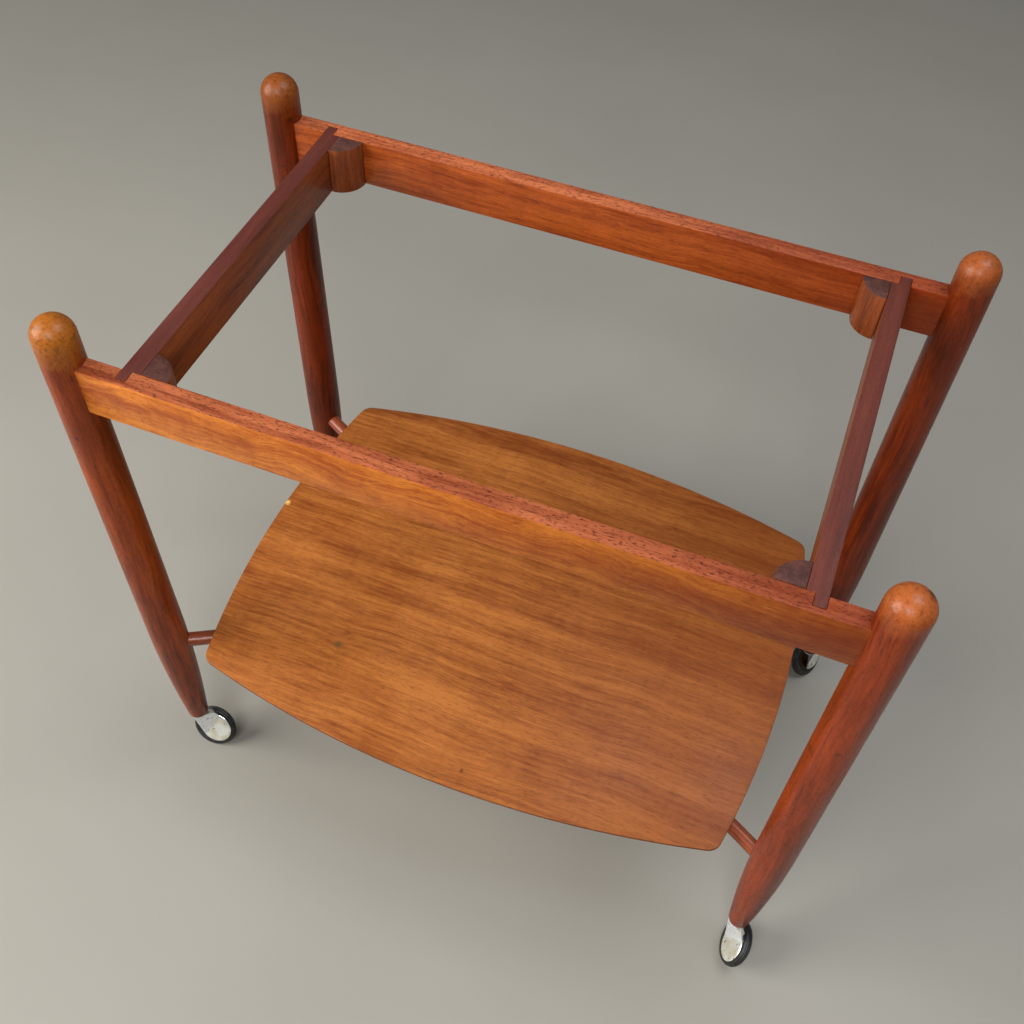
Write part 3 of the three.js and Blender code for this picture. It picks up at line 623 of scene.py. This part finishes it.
def screw_tree():
    """Countersunk screws at the four corners of a rectangle, each with a slot cut in its head."""
    tree = bpy.data.node_groups.new("shelf_screws", "GeometryNodeTree")
    tree.interface.new_socket("Screws", in_out="OUTPUT", socket_type="NodeSocketGeometry")
    for label in ("Spread X", "Spread Y", "Head Height", "Head Radius", "Shank Radius", "Length", "Slot"):
        tree.interface.new_socket(label, in_out="INPUT", socket_type="NodeSocketFloat")
    tree.interface.new_socket("Steel", in_out="INPUT", socket_type="NodeSocketMaterial")
    given = put(tree, "NodeGroupInput").outputs
    corners = put(tree, "GeometryNodeMeshGrid", {"Size X": given["Spread X"], "Size Y": given["Spread Y"],
                                                 "Vertices X": 2, "Vertices Y": 2})
    taper = put(tree, "ShaderNodeMath", {0: given["Head Radius"], 1: given["Shank Radius"]},
                operation="SUBTRACT")
    head = put(tree, "GeometryNodeMeshCone", {"Vertices": 32, "Radius Top": given["Shank Radius"],
                                              "Radius Bottom": given["Head Radius"], "Depth": taper})
    shank = put(tree, "GeometryNodeMeshCylinder", {"Vertices": 24, "Radius": given["Shank Radius"],
                                                   "Depth": given["Length"]})
    middle = put(tree, "ShaderNodeMath", {0: given["Length"], 1: 0.5}, operation="MULTIPLY")
    lift = put(tree, "ShaderNodeCombineXYZ", {2: middle})
    raised = put(tree, "GeometryNodeTransform", {"Geometry": shank, "Translation": lift})
    whole = put(tree, "GeometryNodeMeshBoolean", {"Mesh 2": head}, operation="UNION")
    tree.links.new(raised.outputs[0], whole.inputs["Mesh 2"])
    width = put(tree, "ShaderNodeMath", {0: given["Head Radius"], 1: 3.0}, operation="MULTIPLY")
    slot_size = put(tree, "ShaderNodeCombineXYZ", {0: width, 1: given["Slot"], 2: given["Slot"]})
    slot = put(tree, "GeometryNodeMeshCube", {"Size": slot_size})
    slotted = put(tree, "GeometryNodeMeshBoolean", {"Mesh 1": whole, "Mesh 2": slot},
                  operation="DIFFERENCE")
    placed = put(tree, "GeometryNodeInstanceOnPoints", {"Points": corners,
                                                        "Instance": slotted})
    up = put(tree, "ShaderNodeCombineXYZ", {2: given["Head Height"]})
    seated = put(tree, "GeometryNodeTransform", {"Geometry": placed, "Translation": up})
    real = put(tree, "GeometryNodeRealizeInstances", {0: seated})
    coated = put(tree, "GeometryNodeSetMaterial", {0: real, "Material": given["Steel"]})
    put(tree, "NodeGroupOutput", {0: coated})
    return tree


screw_low, screw_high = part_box("shelf_screw_back_right")
screws = finish_piece("shelf_screws_slotted", grow("shelf_screws_slotted", screw_tree(), {
    "Spread X": screw_low[0] + screw_high[0], "Spread Y": screw_low[1] + screw_high[1],
    "Head Height": screw_low[2], "Head Radius": (screw_high[0] - screw_low[0]) / 2,
    "Shank Radius": SCREW_SHANK, "Length": screw_high[2] - screw_low[2], "Slot": SCREW_SLOT,
    "Steel": screw_steel}), [screw_steel], "frame")
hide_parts(*("shelf_screw_" + corner for corner in CORNERS))

# ----------------------------------------------------------
# Caster sockets, washers and stems. Turned steel, zinc-plated: a flanged sleeve pressed into the
# post, a thrust washer under it and the stem that turns in it, riveted to the hood.


def turned(name, outline, facets, place):
    """A closed turned piece about Z, the outline running from axis to axis or round on itself."""
    shape = bmesh.new()
    rings = []
    for radius, height in outline:
        if radius < 1e-7:
            rings.append([shape.verts.new((0, 0, height))])
        else:
            rings.append([shape.verts.new((radius * math.cos(2 * math.pi * i / facets),
                                           radius * math.sin(2 * math.pi * i / facets), height))
                          for i in range(facets)])
    if len(rings[0]) > 1:
        rings.append(rings[0])
    for lower, upper in zip(rings, rings[1:]):
        for i in range(facets):
            j = (i + 1) % facets
            corners = [lower[i % len(lower)], lower[j % len(lower)],
                       upper[j % len(upper)], upper[i % len(upper)]]
            shape.faces.new(list(dict.fromkeys(corners))).smooth = True
    bmesh.ops.recalc_face_normals(shape, faces=shape.faces)
    shape.transform(place)
    mesh = as_mesh(name, shape)
    mesh.set_sharp_from_angle(angle=math.radians(38))
    return mesh


SOCKET_BORE = 0.0044
SOCKET_OUTER = 0.0055
WASHER_ARRIS = 0.0003
STEM_RADIUS = 0.004
STEM_HEAD = 0.0014
STEM_TIP = 0.0016
TURNED_FACETS = 48
casters = {}
for corner in CORNERS:
    axis_x, axis_y = post_axes[corner]
    upright = Matrix.Translation((axis_x, axis_y, 0))
    low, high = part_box("caster_socket_" + corner)
    flange = (high[0] - low[0]) / 2 + 0.0002
    under = low[2]
    name = "caster_socket_" + corner + "_sleeve"
    socket = finish_piece(name, turned(name, [
        (SOCKET_BORE, under), (flange - 0.0004, under), (flange, under + 0.0004),
        (flange - 0.0002, under + 0.0009), (SOCKET_OUTER, under + 0.0010), (SOCKET_OUTER, high[2]),
        (SOCKET_BORE, high[2])], TURNED_FACETS, upright), [screw_steel], "frame")
    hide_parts("caster_socket_" + corner)
    low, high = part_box("caster_washer_" + corner)
    rim = (high[0] - low[0]) / 2
    name = "caster_washer_" + corner + "_ring"
    washer = finish_piece(name, turned(name, [
        (SOCKET_BORE, low[2]), (rim - WASHER_ARRIS, low[2]), (rim, low[2] + WASHER_ARRIS),
        (rim, high[2] - WASHER_ARRIS), (rim - WASHER_ARRIS, high[2]), (SOCKET_BORE, high[2])],
        TURNED_FACETS, upright), [screw_steel], "swivel_" + corner)
    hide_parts("caster_washer_" + corner)
    low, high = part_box("caster_stem_" + corner)
    head = (high[0] - low[0]) / 2
    name = "caster_stem_" + corner + "_pin"
    stem = finish_piece(name, turned(name, [
        (0, low[2]), (head * 0.6, low[2]), (head * 0.92, low[2] + 0.0004), (head, low[2] + 0.0011),
        (head, low[2] + STEM_HEAD), (STEM_RADIUS, low[2] + STEM_HEAD), (STEM_RADIUS, high[2] - STEM_TIP),
        (STEM_RADIUS - STEM_TIP, high[2]), (0, high[2])],
        TURNED_FACETS, upright), [screw_steel], "swivel_" + corner)
    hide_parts("caster_stem_" + corner)
    roll = next(joint for joint in frame["joints"] if joint["name"] == "wheel_" + corner + "_roll")
    axle = Vector(roll["axis"]).normalized()
    forward = Vector((axle.x, axle.y, 0)).normalized()
    trail = Vector((0, 0, 1)).cross(forward)
    down = trail.cross(axle)
    centre = Vector(roll["pos_m"])
    wheel_place = Matrix((
        (down.x, trail.x, axle.x, centre.x),
        (down.y, trail.y, axle.y, centre.y),
        (down.z, trail.z, axle.z, centre.z),
        (0, 0, 0, 1)))
    casters[corner] = upright, forward, trail, wheel_place

# ----------------------------------------------------------
# Caster hoods. Pressed steel, chromium plated: a round cover over the wheel's upper face, bent
# along one chord into a flat leg that rises to a pad round the stem. The plate has gone pitted.

HOOD_RADIUS = 0.0180
HOOD_RISE = 0.0016
HOOD_LAG = 0.0033
HOOD_THICKNESS = 0.0021
WHEEL_HALF = 0.0045
HOOD_GAP = 0.0010
HOOD_FACE = WHEEL_HALF + HOOD_GAP + HOOD_THICKNESS
HOOD_ARRIS = 0.0004
HOOD_FACETS = 72
HOOD_CROWN = 0.0006
HOOD_LIP = 0.0007
CHORD_TOP = math.radians(172)
CHORD_LOW = math.radians(-42)
LEG_ROWS = 8
PAD_RADIUS = 0.0072
PAD_DROP = 0.0004
PAD_STEPS = 30
PAD_OPENING = 0.35
LEG_CORNERS = ((0.0095, -0.0014, 0.0), (-0.0042, 0.0149, 0.0030))


def plating(name, sound, film, film_from):
    """Chromium plate: bright where it is sound, filmed and pitted where the steel shows through."""
    material, tree = blank_material(name)
    place = put(tree, "ShaderNodeTexCoord").outputs["Object"]
    cloud = put(tree, "ShaderNodeTexNoise", {"Vector": place, "Scale": 90.0, "Detail": 5.0})
    filmed = put(tree, "ShaderNodeMapRange", {0: cloud, 1: film_from, 2: film_from + 0.22})
    tone = put(tree, "ShaderNodeMix", {0: filmed, 6: srgb(sound), 7: srgb(film)}, data_type="RGBA").outputs[2]
    pit = put(tree, "ShaderNodeTexVoronoi", {"Vector": place, "Scale": 330.0, "Randomness": 1.0})
    where = put(tree, "ShaderNodeTexNoise", {"Vector": place, "Scale": 130.0, "Detail": 2.0})
    reach = put(tree, "ShaderNodeMapRange", {0: where, 1: 0.48, 2: 0.64, 3: 0.0, 4: 0.36})
    inside = put(tree, "ShaderNodeMath", {0: pit.outputs["Distance"], 1: reach}, operation="LESS_THAN")
    tone = put(tree, "ShaderNodeMix", {0: inside, 6: tone, 7: srgb("#4A3F2E")}, data_type="RGBA").outputs[2]
    dull = put(tree, "ShaderNodeMapRange", {0: cloud, 1: 0.3, 2: 0.7, 3: 0.14, 4: 0.30})
    dull = put(tree, "ShaderNodeMath", {0: inside, 1: 0.45, 2: dull}, operation="MULTIPLY_ADD")
    relief = put(tree, "ShaderNodeMath", {0: inside, 1: -1.0, 2: cloud}, operation="MULTIPLY_ADD")
    bump = put(tree, "ShaderNodeBump", {"Height": relief, "Strength": 0.25, "Distance": 0.0002})
    # The haze of fine scratches over the plate scatters light, so it isn't wholly metallic.
    shader = put(tree, "ShaderNodeBsdfPrincipled", {
        "Base Color": tone, "Roughness": dull, "Metallic": 0.6, "Normal": bump})
    put(tree, "ShaderNodeOutputMaterial", {0: shader})
    return material


cover_plate = plating("chromium_plate_cover", "#E6E8E2", "#CFC8AE", 0.42)
# The leg's brighter, bluish, less filmed plate is a painted highlight: it stands in for the bright reflection
# on the bent facet.
leg_plate_painted_highlight = plating("chromium_plate_leg_painted_highlight", "#F4F8FC", "#DCE2E6", 0.55)


def hood_mesh(name, caster, pad_height):
    """The pressed sheet: its outer face is built, then given a thickness and rounded edges."""
    upright, forward, trail, wheel = caster
    sheet = bmesh.new()
    ends = [Vector((HOOD_RADIUS * math.cos(a) - HOOD_RISE, HOOD_RADIUS * math.sin(a) + HOOD_LAG, 0))
            for a in (CHORD_LOW, CHORD_TOP)]
    chord = ends[1] - ends[0]
    beyond = Vector((chord.y, -chord.x, 0)).normalized()
    if beyond.dot(ends[0] - Vector((-HOOD_RISE, HOOD_LAG, 0))) < 0:
        beyond = -beyond
    rows = [0.0, 0.18, 0.36, 0.52, 0.66, 0.78, 0.88, 0.94, 0.98, 1.0]
    rings = []
    for share in rows:
        radius = HOOD_RADIUS * share
        lip = HOOD_LIP * max(0.0, (share - 0.88) / 0.12) ** 2
        height = HOOD_FACE - HOOD_CROWN * share ** 2 - lip
        if share == 0.0:
            rings.append([sheet.verts.new((-HOOD_RISE, HOOD_LAG, height))])
        else:
            rings.append([sheet.verts.new((radius * math.cos(2 * math.pi * i / HOOD_FACETS) - HOOD_RISE,
                                           radius * math.sin(2 * math.pi * i / HOOD_FACETS) + HOOD_LAG,
                                           height)) for i in range(HOOD_FACETS)])
    for inner, outer in zip(rings, rings[1:]):
        for i in range(HOOD_FACETS):
            j = (i + 1) % HOOD_FACETS
            corners = [inner[i % len(inner)], outer[i], outer[j], inner[j % len(inner)]]
            sheet.faces.new(list(dict.fromkeys(corners)))
    cut = bmesh.ops.bisect_plane(sheet, geom=sheet.verts[:] + sheet.edges[:] + sheet.faces[:], dist=1e-7,
                                 plane_co=ends[0], plane_no=beyond, clear_outer=True)
    bend = [v for v in cut["geom_cut"] if isinstance(v, bmesh.types.BMVert)]
    bend.sort(key=lambda v: (v.co - ends[0]).dot(chord))
    for vert in sheet.verts:
        vert.co = wheel @ vert.co
    origin = upright.to_translation()
    tops = [origin + forward * x + trail * y + Vector((0, 0, pad_height - drop))
            for x, y, drop in LEG_CORNERS]
    previous = bend
    for row in range(1, LEG_ROWS + 1):
        line = []
        for k, start in enumerate(bend):
            arrive = tops[0].lerp(tops[1], k / (len(bend) - 1))
            line.append(sheet.verts.new(start.co.lerp(arrive, row / LEG_ROWS)))
        # the leg's faces take the second material, whose brightness is a painted highlight
        for k in range(len(bend) - 1):
            sheet.faces.new((previous[k], previous[k + 1], line[k + 1], line[k])).material_index = 1
        previous = line
    # the pad: a round plate with the leg's top edge drawn out of it
    turn_from = math.atan2(LEG_CORNERS[1][1], LEG_CORNERS[1][0]) + PAD_OPENING
    turn_to = math.atan2(LEG_CORNERS[0][1], LEG_CORNERS[0][0]) + 2 * math.pi - PAD_OPENING
    pad = list(previous)
    for i in range(PAD_STEPS + 1):
        angle = turn_from + (turn_to - turn_from) * i / PAD_STEPS
        spot = origin + forward * (PAD_RADIUS * math.cos(angle)) + trail * (PAD_RADIUS * math.sin(angle))
        pad.append(sheet.verts.new((spot.x, spot.y, pad_height)))
    sheet.faces.new(pad)
    bmesh.ops.recalc_face_normals(sheet, faces=sheet.faces)
    outward = wheel.to_3x3() @ Vector((0, 0, 1))
    if sum(face.normal.dot(outward) for face in sheet.faces if len(face.verts) <= 4) < 0:
        bmesh.ops.reverse_faces(sheet, faces=sheet.faces)
    for face in sheet.faces:
        face.smooth = True
    holder = stand(name + "_sheet", as_mesh(name, sheet))
    wall = holder.modifiers.new("wall", "SOLIDIFY")
    wall.thickness = HOOD_THICKNESS
    wall.offset = -1.0
    wall.use_even_offset = True
    edges = holder.modifiers.new("edges", "BEVEL")
    edges.width = HOOD_ARRIS
    edges.segments = 3
    edges.limit_method = "ANGLE"
    edges.angle_limit = math.radians(28)
    mesh = plain_mesh(name, holder)
    mesh.set_sharp_from_angle(angle=math.radians(14))
    return mesh


for corner in CORNERS:
    pad_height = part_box("caster_washer_" + corner)[0][2] - PAD_DROP
    name = "caster_hood_" + corner + "_pressed"
    hood = finish_piece(name, hood_mesh(name, casters[corner], pad_height),
                        [cover_plate, leg_plate_painted_highlight], "swivel_" + corner)
    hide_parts("caster_hood_" + corner)

# ----------------------------------------------------------
# Caster wheels. A dished core of tarnished, brass-plated steel turns on a headed steel axle and
# carries a moulded black rubber tyre, bowl-shaped, with two fine grooves in its tread.

CORE_RADIUS = 0.0162
CORE_BORE = 0.0034
TYRE_SEAT = 0.0165
AXLE_RADIUS = 0.003
# Brass colour browned by age and grease.
core_metal = aged_metal("brass_plated_steel_tarnished", 180.0, "#1C1612", "#6E4E2E", (0.32, 0.5))

rubber, rubber_tree = blank_material("black_rubber_moulded")
rubber_place = put(rubber_tree, "ShaderNodeTexCoord").outputs["Object"]
dust = put(rubber_tree, "ShaderNodeTexNoise", {"Vector": rubber_place, "Scale": 120.0, "Detail": 5.0})
dusty = put(rubber_tree, "ShaderNodeMapRange", {0: dust, 1: 0.45, 2: 0.75, 4: 0.5})
# Moulded rubber is near black with a soft sheen; dust greys it in patches.
rubber_tone = put(rubber_tree, "ShaderNodeMix", {0: dusty, 6: srgb("#141516"), 7: srgb("#3E403F")},
                  data_type="RGBA").outputs[2]
rubber_dull = put(rubber_tree, "ShaderNodeMapRange", {0: dust, 1: 0.3, 2: 0.7, 3: 0.36, 4: 0.62})
rubber_grain = put(rubber_tree, "ShaderNodeTexNoise", {"Vector": rubber_place, "Scale": 900.0, "Detail": 2.0})
rubber_bump = put(rubber_tree, "ShaderNodeBump",
                  {"Height": rubber_grain, "Strength": 0.2, "Distance": 0.0001})
rubber_shader = put(rubber_tree, "ShaderNodeBsdfPrincipled", {
    "Base Color": rubber_tone, "Roughness": rubber_dull, "Normal": rubber_bump, "IOR": 1.52})
put(rubber_tree, "ShaderNodeOutputMaterial", {0: rubber_shader})

TREAD = [  # radius, place along the axle towards the hood
    (0.0172, -0.0036), (0.0180, -0.0043), (0.0190, -0.0045), (0.0200, -0.0045), (0.0209, -0.0043),
    (0.0219, -0.0039), (0.0228, -0.0032), (0.0235, -0.0023), (0.0240, -0.0014), (0.0243, -0.0006),
    (0.0244, 0.0000), (0.0242, 0.0002), (0.0236, 0.0004), (0.0236, 0.0007), (0.0242, 0.0009),
    (0.0244, 0.0012), (0.0243, 0.0019), (0.0239, 0.0022), (0.0233, 0.0024), (0.0232, 0.0027),
    (0.0237, 0.0030), (0.0236, 0.0035), (0.0231, 0.0040), (0.0224, 0.0044), (0.0216, 0.0045),
    (0.0200, 0.0044), (0.0184, 0.0041), (0.0172, 0.0037)]
for corner in CORNERS:
    *_, place = casters[corner]
    name = "wheel_tyre_" + corner + "_moulded"
    tyre = finish_piece(name, turned(name, TREAD + [(TYRE_SEAT, 0.0033), (TYRE_SEAT, -0.0032)], 96, place),
                        [rubber], "wheel_" + corner)
    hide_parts("wheel_tyre_" + corner)
    name = "wheel_core_" + corner + "_dished"
    core = finish_piece(name, turned(name, [
        (CORE_BORE, -0.0035), (0.0062, -0.0035), (0.0070, -0.0030), (0.0082, -0.0020), (0.0100, -0.0016),
        (0.0126, -0.0019), (0.0142, -0.0028), (0.0154, -0.0033), (CORE_RADIUS, -0.0031),
        (CORE_RADIUS, 0.0034), (0.0150, 0.0038), (0.0120, 0.0036), (0.0070, 0.0040), (0.0054, 0.0050),
        (CORE_BORE, 0.0050)], 64, place), [core_metal], "wheel_" + corner)
    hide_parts("wheel_core_" + corner)
    name = "caster_axle_" + corner + "_pin"
    axle = finish_piece(name, turned(name, [
        (0, -0.0051), (0.0020, -0.0050), (0.0038, -0.0046), (0.0048, -0.0041), (0.0049, -0.0039),
        (AXLE_RADIUS, -0.0039), (AXLE_RADIUS, 0.0066), (0, 0.0066)], 40, place),
        [screw_steel], "swivel_" + corner)
    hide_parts("caster_axle_" + corner)

# ----------------------------------------------------------
# Floor, light and camera. A plain pale floor in a room lit by a window to the left, a soft
# light above the camera and one overhead.

floor_mesh = bpy.data.meshes.new("floor")
floor_mesh.from_pydata([(-8, -8, 0), (8, -8, 0), (8, 8, 0), (-8, 8, 0)], [], [(0, 1, 2, 3)])
floor = stand("floor", floor_mesh)
floor_finish, floor_tree = blank_material("floor_plain")
floor_place = put(floor_tree, "ShaderNodeTexCoord").outputs["Object"]
cloud = put(floor_tree, "ShaderNodeTexNoise", {"Vector": floor_place, "Scale": 3.0, "Detail": 6.0})
floor_tone = put(floor_tree, "ShaderNodeMix", {0: cloud, 6: srgb("#8E8A81"), 7: srgb("#99958C")},
                 data_type="RGBA").outputs[2]
floor_shader = put(floor_tree, "ShaderNodeBsdfPrincipled", {"Base Color": floor_tone, "Roughness": 0.7})
put(floor_tree, "ShaderNodeOutputMaterial", {0: floor_shader})
floor_mesh.materials.append(floor_finish)

world = bpy.data.worlds.new("room")
bpy.context.scene.world = world
world.use_nodes = True
world.node_tree.nodes.clear()
sky = put(world.node_tree, "ShaderNodeBackground", {"Color": srgb("#E4E8EC"), "Strength": 0.16})
put(world.node_tree, "ShaderNodeOutputWorld", {0: sky})

for name, spot, aim, size, power, tint in (
        ("window", (-2.0, -1.15, 1.45), (0.0, 0.0, 0.35), (1.6, 1.8), 84.0, "#FFFDF8"),
        ("front", (0.1, -1.75, 2.1), (0.0, 0.0, 0.35), (1.2, 1.0), 34.0, "#FFFFFF"),
        ("overhead", (0.7, 0.2, 2.3), (0.1, 0.0, 0.35), (1.2, 1.2), 26.0, "#F6FAFF")):
    lamp = bpy.data.lights.new(name, "AREA")
    lamp.shape = "RECTANGLE"
    lamp.size, lamp.size_y = size
    lamp.energy = power
    lamp.color = srgb(tint)[:3]
    light = stand(name, lamp)
    light.location = spot
    light.rotation_mode = "QUATERNION"
    light.rotation_quaternion = (Vector(aim) - Vector(spot)).to_track_quat("-Z", "Y")

lens = bpy.data.cameras.new("camera")
lens.sensor_width = 36.0
lens.lens = 40.355
camera = stand("camera", lens)
ahead = Vector((-0.20111, 0.58140, -0.78837)).normalized()
right = Vector((0.93147, 0.36259, 0.02979))
right = (right - ahead * right.dot(ahead)).normalized()
above = right.cross(ahead)
camera.matrix_world = Matrix((
    (right.x, above.x, -ahead.x, 0.20314),
    (right.y, above.y, -ahead.y, -0.61928),
    (right.z, above.z, -ahead.z, 1.19884),
    (0, 0, 0, 1)))
lens.clip_start = 0.01
bpy.context.scene.camera = camera
bpy.context.scene.view_settings.view_transform = "Standard"
